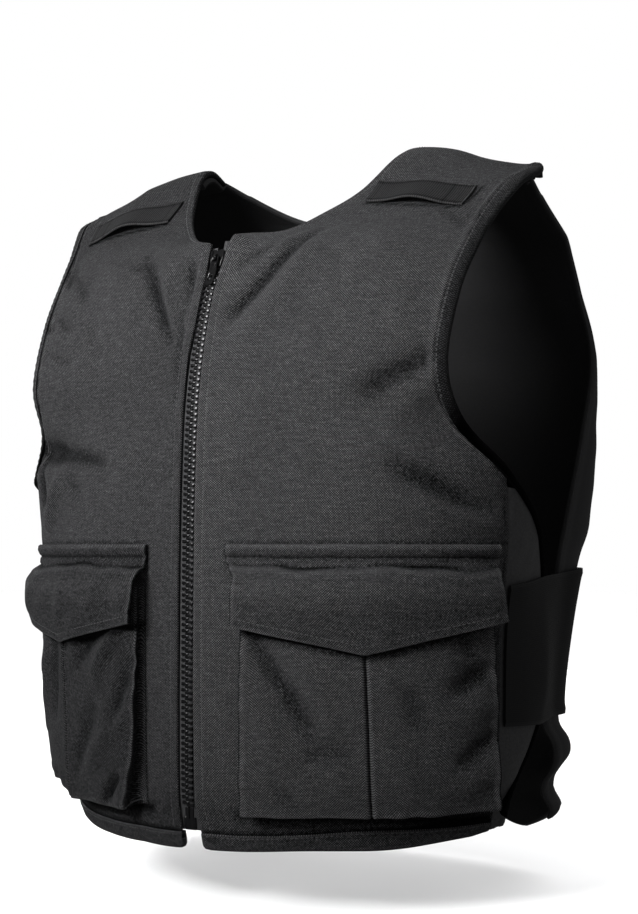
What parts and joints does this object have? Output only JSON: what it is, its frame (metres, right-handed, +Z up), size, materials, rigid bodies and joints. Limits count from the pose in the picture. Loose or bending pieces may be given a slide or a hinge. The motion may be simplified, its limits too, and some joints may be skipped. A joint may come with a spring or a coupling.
{
  "type": "stab vest",
  "caption": "Overt stab vest in charcoal canvas with a front zip, flapped bellows pockets, shoulder webbing loops, smooth side wings and back, and wide elastic side straps, in its worn form.",
  "frame": {"origin": "on the middle plane, at the height where the shoulder straps sit beside the wearer's neck", "axes": "+Z up, the wearer faces -Y, and the wearer's left is +X"},
  "size_m": [0.4106, 0.3063, 0.5354],
  "materials": {
    "canvas": "coarse charcoal canvas",
    "smooth_cloth": "smooth near-black cloth and elastic",
    "webbing": "ribbed dark webbing",
    "zip_plastic": "black moulded teeth on a black woven tape",
    "zip_metal": "black enamelled metal"
  },
  "bodies": {
    "vest": {"front_panel_left": "canvas", "front_panel_right": "canvas", "hem_band_left": "canvas", "hem_band_right": "canvas", "side_wing_left": "smooth_cloth", "side_wing_right": "smooth_cloth", "armhole_binding_left": "smooth_cloth", "armhole_binding_right": "smooth_cloth", "zip_tape_left": "zip_plastic", "zip_tape_right": "zip_plastic", "pocket_left": "canvas", "pocket_right": "canvas", "pocket_flap_left": "canvas", "pocket_flap_right": "canvas", "radio_loop_left": "webbing", "radio_loop_right": "webbing", "side_strap_left": "smooth_cloth", "side_strap_right": "smooth_cloth", "back_panel": "smooth_cloth", "zip_slider": "zip_metal", "zip_bottom_box": "zip_plastic"},
    "zip_pull": {"zip_pull": "zip_metal"}
  },
  "joints": [
    {"name": "pull_swing", "type": "hinge", "parent": "vest", "child": "zip_pull", "pos_m": [-0.0015, -0.11976, -0.09679], "axis": [-1, 0, 0], "range_deg": [0, 150]}
  ]
}
